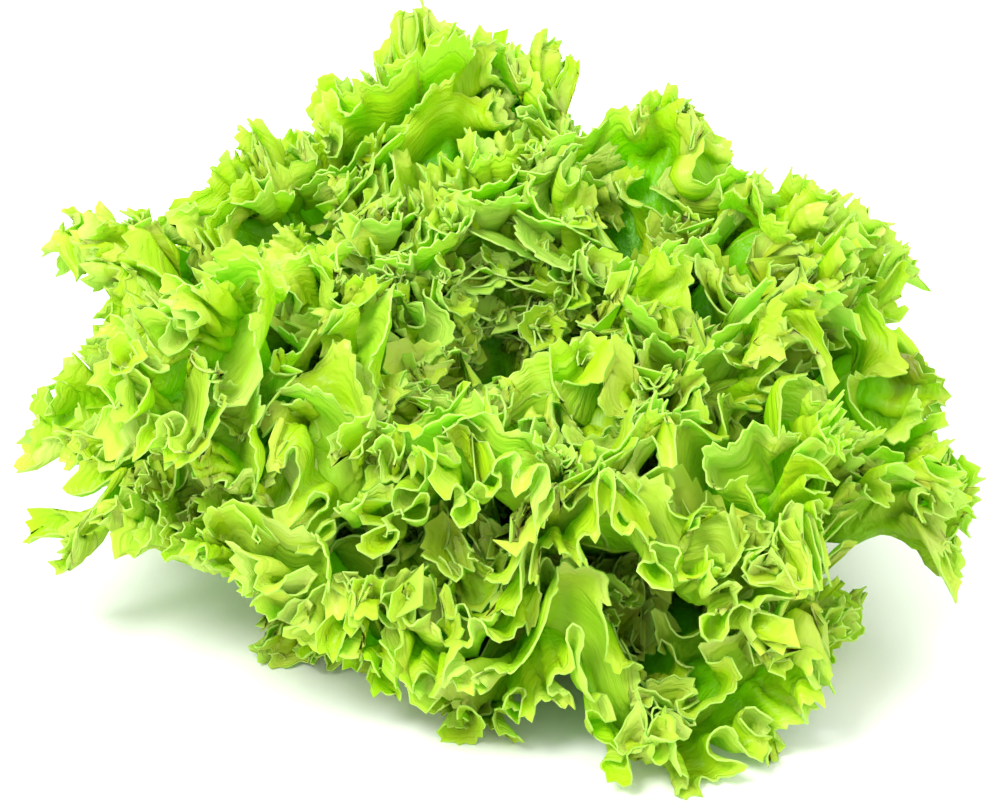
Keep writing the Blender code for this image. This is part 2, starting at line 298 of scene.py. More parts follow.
# Where the head reaches further out or less far: azimuth and elevation in degrees, width, gain
SWELLS = (
    (-74, 4, 15, 0.01),
    (-93, 3, 10, -0.30),
    (-128, 4, 14, 0.18),
    (-16, 7, 9, -0.17),
    (-38, 3, 13, 0.17),
    (108, 60, 13, 0.21),
    (62, 48, 12, -0.03),
    (42, 46, 10, 0.14),
    (20, 38, 12, 0.02),
    (2, 25, 9, 0.16),
    (179, 12, 11, 0.24),
    (-158, 3, 13, -0.19),
    (150, 40, 11, 0.12),
    (168, 34, 9, -0.04),
    (128, 50, 10, -0.08),
    (-90, 55, 30, -0.10),
    (90, 5, 35, -0.14),
)
FOLD_WAVE = 0.090
FOLD_DEPTH = 0.016
FRILL_WAVE = 0.027
FRILL_DEPTH = 0.0145
FRILL_ZONE = 0.055
FRILL_FADE = 2.3
FRILL_COLUMNS = 5
FRILL_BEND = 0.009
SHARE = 0.30
ROUNDS = 2
ACROSS = 160
ALONG = 24
STEP = 2
CHUNKS = (16, 3)
# How far the search for other leaves looks, for the first frills and for the finer ones
ROOM_SEEN = 0.036
FINE_ROOM_SEEN = 0.018


def between(pair, share):
    """The value that lies this share of the way from the first of a pair to the second."""
    return pair[0] + (pair[1] - pair[0]) * share


def smooth_step(low, high, value):
    """0 below low, 1 above high, and t squared times (3 - 2t) in between."""
    t = np.clip((value - low) / (high - low), 0, 1)
    return t * t * (3 - 2 * t)


def leaf_facts(number):
    """One leaf's place on the stem and its size. Leaf 0 is the outermost."""
    share = number / (LEAF_COUNT - 1)
    random = np.random.default_rng(SEED + number)
    lean = between(LEAN, share**LEAN_POWER)
    height = between((LOWEST_LEAF_Z, HIGHEST_LEAF_Z), share)
    rib = between(RIB, share)
    length, half_width = (
        between(pair, smooth_step(*SHORTENING, share)) for pair in (LENGTH, HALF_WIDTH)
    )
    length, half_width = TALL_LEAVES.get(number, (length, half_width))
    return {
        "share": share,
        "azimuth": FIRST_AZIMUTH + number * GOLDEN_ANGLE,
        "lean": lean,
        "height": height,
        "rib": rib,
        "length": length * (1 + random.uniform(-SIZE_SPREAD, SIZE_SPREAD)),
        "half_width": half_width * (1 + random.uniform(-SIZE_SPREAD, SIZE_SPREAD)),
        "spread": between(SPREAD, share),
        "base": between(BASE_WIDTH, share),
        "start": stem_radius(height) + GAP + rib / 2 * math.sin(lean),
        "random": random,
    }


def working_grid():
    """The two parameters: across from -1 to 1, and along from 0 at the stem to 1 at the margin."""
    return np.meshgrid(np.linspace(-1, 1, ACROSS + 1), np.linspace(0, 1, ALONG + 1), indexing="ij")


def off_from(azimuth, at):
    """How far each azimuth is from one given in degrees, the short way round."""
    return np.angle(np.exp(1j * (azimuth - math.radians(at))))


def settled(points):
    """The form of the whole head, from upright cones. In turn: far from the stem everything sinks
    to a lower elevation angle; the head reaches further in some directions and less far in others;
    it sinks lower and turns round the stem in places; it flares out as it rises; and it lifts in
    broad folds towards its rim. Each is a one-to-one map of space that moves points along one
    coordinate, so leaves that were apart stay apart."""
    x, y, z = np.moveaxis(points, -1, 0)
    radius, azimuth = np.hypot(x, y), np.arctan2(y, x)
    distance, elevation = np.hypot(radius, z), np.arctan2(z, radius)
    elevation = elevation * (1 - DROOP * smooth_step(*DROOP_RANGE, distance))
    gain = 1
    for at, up, width, size in SWELLS:
        off = off_from(azimuth, at) * np.cos(elevation)
        away = np.hypot(off, elevation - math.radians(up)) / math.radians(width)
        gain = gain + size * np.exp(-(away**2) / 2)
    distance = distance * (1 + (gain - 1) * smooth_step(*SWELL_RANGE, distance))
    for at, width, share in SINKS:
        near = np.exp(-((off_from(azimuth, at) / math.radians(width)) ** 2) / 2)
        near = near * smooth_step(*SINK_RANGE, distance) * (1 - elevation / (math.pi / 2))
        elevation = elevation * (1 - share * near)
    for at, width, turn in TURNS:
        near = np.exp(-((off_from(azimuth, at) / math.radians(width)) ** 2) / 2)
        azimuth = azimuth + math.radians(turn) * near
    radius, z = distance * np.cos(elevation), distance * np.sin(elevation)
    turn = 0.6 + 0.4 * np.sin(5 * azimuth + 1.2 * np.sin(2 * azimuth))
    radius = radius + FLARE * smooth_step(*FLARE_RANGE, z) * turn
    fold = 0.5 + 0.5 * np.sin(7 * azimuth + 1.6 * np.sin(2 * azimuth + 1))
    z = z + LIFT * np.minimum(radius / HEAD_RADIUS, 1.2) ** 2 * fold
    return np.stack([radius * np.cos(azimuth), radius * np.sin(azimuth), z], -1)


def line_lengths(leaf, fan):
    """How long each line of the leaf's fan is: the foot of the fan lies inside an ellipse, whose
    long axis is the rib, and the lines end on it."""
    centre = WIDEST_AT * leaf["length"]
    long, wide = leaf["length"] - centre, leaf["half_width"]
    square = (np.cos(fan) / long) ** 2 + (np.sin(fan) / wide) ** 2
    root = np.sqrt(square - (centre * np.sin(fan) / (long * wide)) ** 2)
    return (centre * np.cos(fan) / long**2 + root) / square


def flat_leaf(leaf):
    """The leaf pressed flat: its lines fan out from an arc at the stem to the outline."""
    across, along = working_grid()
    apex = leaf["start"] / math.cos(leaf["lean"])
    turn = across * leaf["base"] / 2 / apex
    fan = across * leaf["spread"]
    out = along * line_lengths(leaf, fan)
    return np.stack([apex * np.sin(turn) + out * np.sin(fan), apex * np.cos(turn) + out * np.cos(fan)], -1)


def smooth_leaf(leaf):
    """The flat leaf rolled without stretching on to its own cone round the stem, then settled."""
    side, ahead = np.moveaxis(flat_leaf(leaf), -1, 0)
    slope = math.cos(leaf["lean"])
    widest = between(WIDEST_WRAP, leaf["share"])
    wrap = widest * np.tanh(np.arctan2(side, ahead) / slope / widest)
    distance = np.hypot(side, ahead)
    radius = distance * slope
    bearing = leaf["azimuth"] + wrap
    height = leaf["height"] + (distance - leaf["start"] / slope) * math.sin(leaf["lean"])
    return settled(np.stack([radius * np.cos(bearing), radius * np.sin(bearing), height], -1))


def unit(vectors):
    return vectors / np.maximum(np.linalg.norm(vectors, axis=-1, keepdims=True), 1e-12)


def frames(points):
    """At each point of a grid: the way across, the way out to the margin, and the way its back
    looks."""
    across = unit(np.gradient(points, axis=0))
    out = np.gradient(points, axis=1)
    back = unit(np.cross(across, out))
    return across, np.cross(back, across), back


def thickness(leaf):
    """Blade all over, and thicker along the middle near the stem, by a bell curve across."""
    across, along = working_grid()
    rib = np.exp(-((across / RIB_HALF_WIDTH) ** 2)) * (1 - smooth_step(0.05, 0.75, along))
    return BLADE + (leaf["rib"] - BLADE) * rib


def tiles_of(points, thick):
    """A leaf as small flat tiles, one for each cell of a coarser grid: the middle of each, its
    three directions and half its size in each of them."""
    grid = points[::STEP, ::STEP]
    corners = grid[:-1, :-1], grid[1:, :-1], grid[1:, 1:], grid[:-1, 1:]
    middle = sum(corners) / 4
    side = (corners[1] + corners[2] - corners[0] - corners[3]) / 4
    out = (corners[2] + corners[3] - corners[0] - corners[1]) / 4
    ways = np.stack([unit(side), out, np.cross(side, out)], -2)
    ways[..., 2, :] = unit(ways[..., 2, :])
    ways[..., 1, :] = np.cross(ways[..., 2, :], ways[..., 0, :])
    sizes = [
        np.linalg.norm(side, axis=-1),
        np.abs((out * ways[..., 1, :]).sum(-1)),
        thick[::STEP, ::STEP][:-1, :-1] / 2,
    ]
    return middle.reshape(-1, 3), ways.reshape(-1, 3, 3), np.stack(sizes, -1).reshape(-1, 3)


def nearest(spots, middle, ways, half, seen_to):
    """How far each spot is from the nearest tile, or as far as it looks if that is less. Along each
    of a tile's directions it takes what is left of the offset past its half size, and joins the
    three."""
    close = (middle > spots.min(0) - seen_to) & (middle < spots.max(0) + seen_to)
    close = close.all(axis=-1)
    square = np.full((len(spots), 1), seen_to**2, np.float32)
    if close.any():
        seen = 0
        for axis in range(3):
            way = ways[close, axis].astype(np.float32)
            off = spots.astype(np.float32) @ way.T
            off -= (middle[close] * way).sum(-1).astype(np.float32)
            np.abs(off, out=off)
            off -= half[close, axis].astype(np.float32)
            np.maximum(off, 0, out=off)
            off *= off
            seen = seen + off
        square = np.minimum(square, seen.min(axis=1, keepdims=True))
    return np.sqrt(square[:, 0])


def finer(coarse):
    """Values on every few lines of the working grid, filled in by straight lines between them."""
    whole_u, whole_v = np.arange(ACROSS + 1), np.arange(ALONG + 1)
    known_u = np.linspace(0, ACROSS, coarse.shape[0])
    known_v = np.linspace(0, ALONG, coarse.shape[1])
    rows = np.stack([np.interp(whole_v, known_v, row) for row in coarse])
    return np.stack([np.interp(whole_u, known_u, column) for column in rows.T], 1)


def room(grids, thick, seen_to):
    """For each leaf, how far each point may move: its share of the way to the nearest tile of
    another leaf, and no further than the table."""
    tiles = [tiles_of(*each) for each in zip(grids, thick)]
    found = []
    for number, points in enumerate(grids):
        others = [each for other, each in enumerate(tiles) if other != number]
        middle, ways, half = (np.concatenate(each) for each in zip(*others))
        probes = points[::STEP, ::STEP]
        near = np.concatenate(
            [
                np.concatenate(
                    [
                        nearest(block.reshape(-1, 3), middle, ways, half, seen_to).reshape(block.shape[:2])
                        for block in np.array_split(part, CHUNKS[1], axis=1)
                    ],
                    axis=1,
                )
                for part in np.array_split(probes, CHUNKS[0])
            ]
        )
        own = thick[number][::STEP, ::STEP] / 2
        free = SHARE * np.maximum(near - own - GAP, 0)
        found.append(finer(np.minimum(free, np.maximum(probes[..., 2] - own, 0))))
    return found


def limited(move, free):
    """Each move, scaled down so that the longest one within a frill's width of it would fit into
    the room there, which keeps the frills' round shape."""
    size = np.pad(np.linalg.norm(move, axis=-1), ((FRILL_COLUMNS, FRILL_COLUMNS), (0, 0)), "edge")
    longest = np.lib.stride_tricks.sliding_window_view(size, 2 * FRILL_COLUMNS + 1, axis=0).max(-1)
    return move * (free / np.maximum(longest, np.maximum(free, 1e-9)))[..., None]


def frilled(leaf, points):
    """Broad folds of the blade, and frills near its margin. A frill swings from side to side across
    the blade, and leans over itself at its crests, as a strip does that is longer than the edge it
    is sewn to. They fade inwards as a power of the share of their zone left, and their lines wander
    by a sine of the distance to the margin."""
    across, along = working_grid()
    steps = np.linalg.norm(np.diff(points[:, -1], axis=0), axis=-1)
    arc = np.concatenate([[0], np.cumsum(steps)])
    count = max(6, round(arc[-1] / FRILL_WAVE))
    wave = arc[-1] / count
    drift = leaf["random"].uniform(0, 2 * math.pi, 4)
    phase = 2 * math.pi * arc / wave + drift[0] + 0.8 * np.sin(arc / 0.031 + drift[1])
    line = line_lengths(leaf, across * leaf["spread"])
    inward = (1 - along) * line
    grown = np.clip(1 - inward / np.minimum(FRILL_ZONE, 0.8 * line), 0, 1) ** FRILL_FADE
    uneven = 0.85 + 0.25 * np.sin(0.37 * phase + drift[2])[:, None]
    bent = np.sin(inward / FRILL_BEND + 0.5 * phase[:, None] + drift[1]) * smooth_step(0, 0.020, inward)
    here = phase[:, None] + 1.5 * bent
    depth = FRILL_DEPTH * min(1.0, wave / FRILL_WAVE) * grown * uneven
    lean = depth**2 * 2 * math.pi / wave / 9
    fold = np.sin(2 * math.pi * arc / FOLD_WAVE + drift[3])[:, None] * smooth_step(0.25, 1, along)
    size = FOLD_DEPTH * leaf["length"] / LENGTH[0]
    across, out, back = frames(points)
    move = back * (depth * np.cos(here) + size * fold)[..., None]
    move = move + across * (lean * np.sin(2 * here))[..., None]
    move = move - out * (0.35 * depth)[..., None]
    return points + move


leaves = [leaf_facts(number) for number in range(LEAF_COUNT)]
thick = [thickness(leaf) for leaf in leaves]
grids = [smooth_leaf(leaf) for leaf in leaves]
wanted = [frilled(*each) for each in zip(leaves, grids)]
for _ in range(ROUNDS):
    free = room(grids, thick, ROOM_SEEN)
    grids = [here + limited(there - here, reach) for here, there, reach in zip(grids, wanted, free)]
    for points, each in zip(grids, thick):
        points[..., 2] = np.maximum(points[..., 2], each / 2)
free = room(grids, thick, FINE_ROOM_SEEN)
for leaf in leaves:
    leaf["turns"] = leaf["random"].uniform(0, 2 * math.pi, 16)


# The outer leaves: the oldest and largest, spread on the table. Each is one thin crisp blade, pale
# at the rib and curled in two finer sets of frills along a toothed margin. A leaf's face, its paler
# back and the bare cut of its edge are three finishes.

# Each finer set of frills: its wave, how deep it is at the margin, how far in it reaches, and its
# greatest share of the room
CURLS = (0.0125, 0.0068, 0.034, 1.3)
CRIMPS = (0.0066, 0.0016, 0.012, 0.5)
TOOTH_WAVE, TOOTH_DEPTH, TOOTH_ZONE = 0.0052, 0.0011, 0.006
BLISTER_SIZE, BLISTER_DEPTH = 0.011, 0.0009
LEAST_ROOM = 0.0012
# Puckers of the whole head: wave and depth of each set, how many waves make one up, the radius at
# which they have their full size, and the distances over which they set in
PUCKERS = ((0.052, 0.0052), (0.030, 0.0030), (0.017, 0.0013))
WAVES_EACH = 5
PUCKER_RADIUS = 0.100
PUCKER_RANGE = (0.020, 0.070)
PUCKER_SEED = 3
# The lobes that lap over a leaf's face: how far along they root, how high they stand and in how
# many steps that is tried, what they keep clear of other leaves, how far across they reach, how far
# along their ends root, their height per distance from the stem, the least height worth a lobe, and
# their own first frills
LOBE_ROOTS = (0.50, 0.66, 0.81)
LOBE_HEIGHT = 0.024
LOBE_STEPS = 8
LOBE_CLEAR = 0.0025
LOBE_REACH = 0.90
LOBE_END = 0.90
LOBE_PER_RADIUS, TALL_LEAF_PER_RADIUS = 0.4, 0.75
LEAST_LOBE = 0.010
LOBE_WAVES = (0.024, 0.0075, 0.034, 0.9)
# The way a lobe goes, as shares of up from the face and out, its least height, which stays within
# the blade, and the room its frills have per height
LOBE_WAY = (0.75, 0.6)
LOBE_SUNK = 0.0004
LOBE_FRILL_ROOM = 0.4
SHEET = 0.0006
COLUMN_SPACING = 0.0021
TRIAL_COLUMNS = 1600
# The rows of the fine grid as shares of the way along, and the column spacing used up to each
ROWS = np.concatenate(
    [np.linspace(0, 0.40, 5)[:-1], np.linspace(0.40, 0.74, 6)[:-1], np.linspace(0.74, 1, 11)]
)
BANDS = ((3, 16), (8, 8), (13, 4), (16, 2), (len(ROWS) - 1, 1))
LOBE_ROWS = np.linspace(0, 1, 6)
LOBE_BANDS = ((1, 4), (3, 2), (len(LOBE_ROWS) - 1, 1))


def cubic(spots, count):
    """The matrix that reads a smooth curve through evenly spaced values at the given spots. It
    weighs the four nearest values as Catmull-Rom does: each stretch leaves and meets its values
    at the slope between their neighbours."""
    base = np.clip(np.floor(spots).astype(int), 0, count - 2)
    t = spots - base
    weights = [
        (-t + 2 * t**2 - t**3) / 2,
        (2 - 5 * t**2 + 3 * t**3) / 2,
        (t + 4 * t**2 - 3 * t**3) / 2,
        (-(t**2) + t**3) / 2,
    ]
    matrix = np.zeros((len(spots), count))
    for shift, weight in zip((-1, 0, 1, 2), weights):
        at = base + shift
        np.add.at(matrix, (np.arange(len(spots)), np.clip(at, 0, count - 1)), weight)
        # past either end the curve runs on straight, which doubles the end and takes its neighbour
        low, high = at < 0, at > count - 1
        np.add.at(matrix, (np.flatnonzero(low), np.zeros(low.sum(), int)), weight[low])
        np.add.at(matrix, (np.flatnonzero(low), np.ones(low.sum(), int)), -weight[low])
        np.add.at(matrix, (np.flatnonzero(high), np.full(high.sum(), count - 1)), weight[high])
        np.add.at(matrix, (np.flatnonzero(high), np.full(high.sum(), count - 2)), -weight[high])
    return matrix


def lobe_foot(leaf, grid, columns, root):
    """Where a lobe roots on its leaf: along an arch over the blade, whose ends run out towards the
    margin. Returns the foot, the way the lobe stands, the way out, and the foot on the flat leaf."""
    side = np.minimum(np.abs(2 * columns / ACROSS - 1) / LOBE_REACH, 1)
    share = root + (LOBE_END - root) * side**3
    over, along = cubic(columns, ACROSS + 1), cubic(share * ALONG, ALONG + 1)
    _, out, back = frames(grid)
    foot, stand, out, flat = (
        np.einsum("ui,ijk,uj->uk", over, each, along, optimize=True)
        for each in (grid, -back, out, flat_leaf(leaf))
    )
    return foot, unit(stand), unit(out), flat


def lobe_room(number, root):
    """How high a lobe may stand at each second column of the working grid: a row of spots rises
    from the foot, and the lobe ends short of the first that is close to another leaf. It is no
    higher than a share of the distance from the stem, smoothed by a running mean over a few
    columns, and fades where it is low and towards the lobe's ends."""
    columns = np.arange(0, ACROSS + 1, STEP, dtype=float)
    foot, stand, out, _ = lobe_foot(leaves[number], grids[number], columns, root)
    rises = LOBE_HEIGHT * np.arange(1, LOBE_STEPS + 1) / LOBE_STEPS
    way = unit(LOBE_WAY[0] * stand + LOBE_WAY[1] * out)
    spots = foot[:, None] + way[:, None] * rises[:, None]
    others = [tiles_of(*each) for at, each in enumerate(zip(grids, thick)) if at != number]
    middle, ways, half = (np.concatenate(each) for each in zip(*others))
    near = np.concatenate(
        [
            nearest(block.reshape(-1, 3), middle, ways, half, 2 * LOBE_CLEAR).reshape(block.shape[:2])
            for block in np.array_split(spots, CHUNKS[0])
        ]
    )
    clear = np.minimum(near > LOBE_CLEAR, spots[..., 2] > LOBE_CLEAR)
    tall = LOBE_HEIGHT / LOBE_STEPS * np.cumprod(clear, axis=1).sum(1)
    most = TALL_LEAF_PER_RADIUS if number in TALL_LEAVES else LOBE_PER_RADIUS
    tall = np.minimum(tall, most * np.hypot(foot[:, 0], foot[:, 1]))
    tall = np.convolve(np.pad(tall, 3, "edge"), np.ones(7) / 7, "valid")
    side = np.minimum(np.abs(2 * columns / ACROSS - 1) / LOBE_REACH, 1)
    return tall * smooth_step(0.003, 0.009, tall) * (1 - side**4)


def waved(points, arc, to_margin, turns, sizes, zone, free):
    """One finer set of frills. The phase follows the margin's length with uneven waves, and wanders
    by a sine of the distance to the margin; the depth falls from the margin inwards as a power of
    the share of the zone left. Up and down as a cosine of the phase, with a lean by a sine of twice
    the phase and a roll outwards at the crests."""
    wave, depth, _, most = sizes
    drawn = 0.9 * np.sin(arc / (3.1 * wave) + turns[0]) + 0.7 * np.sin(arc / (5.3 * wave) + turns[1])
    phase = (2 * math.pi * arc / wave + turns[2] + 1.2 * drawn)[:, None]
    phase = phase + 1.3 * np.sin(to_margin / (0.9 * wave) + turns[0]) * smooth_step(0, wave, to_margin)
    uneven = 0.8 + 0.3 * np.sin(arc / (2.3 * wave) + turns[3])
    size = np.minimum(depth * uneven[:, None], most * free) * np.clip(1 - to_margin / zone, 0, 1) ** 1.5
    lean = size**2 * 2 * math.pi / wave / 6
    across, out, back = frames(points)
    move = back * (size * np.cos(phase))[..., None]
    move = move + across * (lean * np.sin(2 * phase))[..., None]
    move = move + out * (size * (0.35 * np.cos(phase) - 0.3))[..., None]
    return points + move


def margin_length(grid):
    """The distance run along a grid's margin, at each of its columns."""
    steps = np.linalg.norm(np.diff(grid[:, -1], axis=0), axis=-1)
    return np.concatenate([[0], np.cumsum(steps)])


def trimmed(points, arc, to_margin, line, turns, free):
    """The two finer sets of frills, and then the teeth: the margin reaches out and back by two
    uneven sines of the length run along it, and less so further in. Nothing goes into the table."""
    for sizes, part, first in ((CURLS, 0.8, 0), (CRIMPS, 0.5, 4)):
        zone = np.minimum(sizes[2], part * line)
        points = waved(points, arc, to_margin, turns[first : first + 4], sizes, zone, free)
    run = margin_length(points)
    teeth = np.sin(2 * math.pi * run / TOOTH_WAVE + 1.5 * np.sin(run / 0.011 + turns[8]) + turns[9])
    lobes = np.sin(2 * math.pi * run / (3.3 * TOOTH_WAVE) + 2 * np.sin(run / 0.023 + turns[10]) + turns[11])
    inward = np.clip(1 - to_margin / TOOTH_ZONE, 0, 1)
    reach = TOOTH_DEPTH * (teeth + 0.8 * lobes)[:, None] * inward * smooth_step(0.004, 0.020, line)
    points = points + frames(points)[1] * reach[..., None]
    points[..., 2] = np.maximum(points[..., 2], SHEET / 2 + 0.0001)
    return points


def fine_blade(leaf, grid, columns, rows, free):
    """The leaf's blade at the given columns of its working grid and shares of the way along: the
    smooth surface through the grid, blistered between the veins, then frilled and toothed. Returns
    the points, the same leaf pressed flat, and the distance to the margin."""
    over, along = cubic(columns, ACROSS + 1), cubic(rows * ALONG, ALONG + 1)
    points = np.einsum("ui,ijk,vj->uvk", over, grid, along, optimize=True)
    flat = np.einsum("ui,ijk,vj->uvk", over, flat_leaf(leaf), along, optimize=True)
    free = np.maximum(over @ free @ along.T, LEAST_ROOM)
    line = line_lengths(leaf, (2 * columns / ACROSS - 1) * leaf["spread"])[:, None]
    to_margin = line * (1 - rows)
    arc = np.interp(columns, np.arange(ACROSS + 1), margin_length(grid))
    turns = leaf["turns"]
    # blisters: bumps in rows that the fan of veins divides, flat over the rib
    side, ahead = flat[..., 0] / BLISTER_SIZE, flat[..., 1] / BLISTER_SIZE
    bump = np.sin(5.1 * side + 1.3 * np.sin(1.7 * ahead + turns[12]) + turns[13])
    bump = bump * np.sin(4.3 * ahead + 1.1 * np.sin(2.1 * side + turns[14]) + turns[15])
    away = 1 - np.exp(-((flat[..., 0] / 0.012) ** 2))
    points = points + frames(points)[2] * (BLISTER_DEPTH * bump * away)[..., None]
    return trimmed(points, arc, to_margin, line, turns, free), flat, to_margin


def fine_lobe(leaf, grid, columns, rows, root, tall):
    """A lobe that laps over the leaf's face. It stands up from the face and leans outwards, as high
    as the room there lets it, and sinks into the blade where that is low. It is frilled and toothed
    as the margin is. Returns the same as the blade."""
    foot, stand, out, flat = lobe_foot(leaf, grid, columns, root)
    height = np.interp(columns, np.arange(0, ACROSS + 1, STEP), tall)[:, None] + LOBE_SUNK
    rise, lean = rows * (1.1 - 0.35 * rows), rows * (0.2 + 0.4 * rows)
    points = foot[:, None] + (height * rise)[..., None] * stand[:, None]
    points = points + (height * lean)[..., None] * out[:, None]
    steps = np.linalg.norm(np.diff(foot, axis=0), axis=-1)
    arc = np.concatenate([[0], np.cumsum(steps)])
    to_margin = height * (1 - rows)
    space = LOBE_FRILL_ROOM * height * np.ones_like(rows)
    turns = leaf["turns"][::-1]
    points = waved(points, arc, to_margin, turns[4:8], LOBE_WAVES, 1.3 * height, space)
    points = trimmed(points, arc, to_margin, height, turns, space)
    beyond = np.stack([np.zeros_like(to_margin), height * rows], -1)
    return points, flat[:, None] + beyond, to_margin


def evenly(first, last, shape):
    """Columns of a shape, from the first to the last, spread evenly along its finished margin. Their
    number is a multiple of sixteen."""
    trial = np.linspace(first, last, TRIAL_COLUMNS + 1)
    run = margin_length(shape(trial)[0])
    count = 16 * max(2, round(run[-1] / COLUMN_SPACING / 16))
    return np.interp(np.linspace(0, run[-1], count + 1), run, trial)


def puckered(points):
    """Puckers of the whole head, as one map of space, so that leaves that were apart stay apart.
    First the radius is scaled by 1 plus waves of the azimuth and the height, which buckles upright
    leaves; then the height is moved by waves of x and y, which buckles flat ones, and nothing
    moves through the table."""
    x, y, z = np.moveaxis(points, -1, 0)
    random = np.random.default_rng(PUCKER_SEED)
    around, over = 0, 0
    radius, azimuth = np.hypot(x, y), np.arctan2(y, x)
    for wave, depth in PUCKERS:
        for heading in random.uniform(0, 2 * math.pi, WAVES_EACH):
            pitch = 2 * math.pi / wave * random.uniform(0.8, 1.25)
            turns = round(pitch * PUCKER_RADIUS * math.sin(heading))
            start = random.uniform(0, 2 * math.pi)
            around = around + depth * np.sin(turns * azimuth + pitch * math.cos(heading) * z + start)
    near = smooth_step(*PUCKER_RANGE, np.hypot(radius, z)) / math.sqrt(WAVES_EACH)
    radius = radius * (1 + around / PUCKER_RADIUS * near)
    x, y = radius * np.cos(azimuth), radius * np.sin(azimuth)
    for wave, depth in PUCKERS:
        for heading in random.uniform(0, 2 * math.pi, WAVES_EACH):
            pitch = 2 * math.pi / wave * random.uniform(0.8, 1.25)
            start = random.uniform(0, 2 * math.pi)
            over = over + depth * np.sin(pitch * (math.cos(heading) * x + math.sin(heading) * y) + start)
    near = smooth_step(*PUCKER_RANGE, radius) / math.sqrt(WAVES_EACH)
    z = z + over * near * smooth_step(0, 0.030, z)
    return np.stack([x, y, z], -1)


def grid_faces(columns, rows, bands):
    """Faces of a grid of points: quads in each band of rows, and at the line where the column
    spacing halves, three triangles to each wide column."""
    index = np.arange(columns * rows).reshape(columns, rows)
    faces, start = [], 0
    for end, skip in bands:
        if start:
            wide, narrow = index[:: 2 * skip, start - 1], index[::skip, start]
            a, b, c, d, e = wide[:-1], wide[1:], narrow[:-2:2], narrow[1:-1:2], narrow[2::2]
            faces += [np.stack(three, -1) for three in ((a, d, b), (a, c, d), (b, d, e))]
        part = index[::skip, start : end + 1]
        corners = part[:-1, :-1], part[:-1, 1:], part[1:, 1:], part[1:, :-1]
        faces.append(np.stack(corners, -1).reshape(-1, 4))
        start = end + 1
    return faces


def make_leaf(name, number, finishes):
    """One leaf as a mesh: the blade and the lobes on its face, with the flat form as a UV map in
    decimetres, the distance to the margin in millimetres as an attribute, and a thin sheet made of
    it both ways."""
    facts = leaves[number], grids[number]
    parts = [(fine_blade, 0, ACROSS, ROWS, BANDS, (free[number],))]
    inset = ACROSS * (1 - LOBE_REACH) / 2
    for root in LOBE_ROOTS:
        tall = lobe_room(number, root)
        if tall.max() > LEAST_LOBE:
            parts.append((fine_lobe, inset, ACROSS - inset, LOBE_ROWS, LOBE_BANDS, (root, tall)))
    points, flat, to_margin, faces, first = [], [], [], [], 0
    for shape, start, end, rows, bands, more in parts:
        columns = evenly(start, end, lambda trial: shape(*facts, trial, rows, *more))
        made = shape(*facts, columns, rows, *more)
        points.append(puckered(made[0]).reshape(-1, 3))
        flat.append(made[1].reshape(-1, 2))
        to_margin.append(made[2].reshape(-1))
        faces += [first + part for part in grid_faces(len(columns), len(rows), bands)]
        first += len(points[-1])
    used = np.unique(np.concatenate([part.ravel() for part in faces]))
    faces = [np.searchsorted(used, part) for part in faces]
    piece = put(name, np.concatenate(points)[used], faces, finishes)
    mesh = piece.data
    corner = np.empty(len(mesh.loops), np.int32)
    mesh.loops.foreach_get("vertex_index", corner)
    pressed = mesh.uv_layers.new(name="pressed flat")
    pressed.uv.foreach_set("vector", (np.concatenate(flat)[used][corner] * 10).ravel())
    # the sheet's bare edge is shaded apart from its two sides
    edge = np.empty(len(mesh.loops), np.int32)
    mesh.loops.foreach_get("edge_index", edge)
    sharp = mesh.attributes.new("sharp_edge", "BOOLEAN", "EDGE")
    sharp.data.foreach_set("value", np.bincount(edge, minlength=len(mesh.edges)) == 1)
    distance = mesh.attributes.new("margin_mm", "FLOAT", "POINT")
    distance.data.foreach_set("value", np.concatenate(to_margin)[used] * 1000)
    sheet = piece.modifiers.new("thickness", "SOLIDIFY")
    sheet.thickness = SHEET
    sheet.offset = 0
    sheet.material_offset = 1
    sheet.material_offset_rim = 2
    return piece


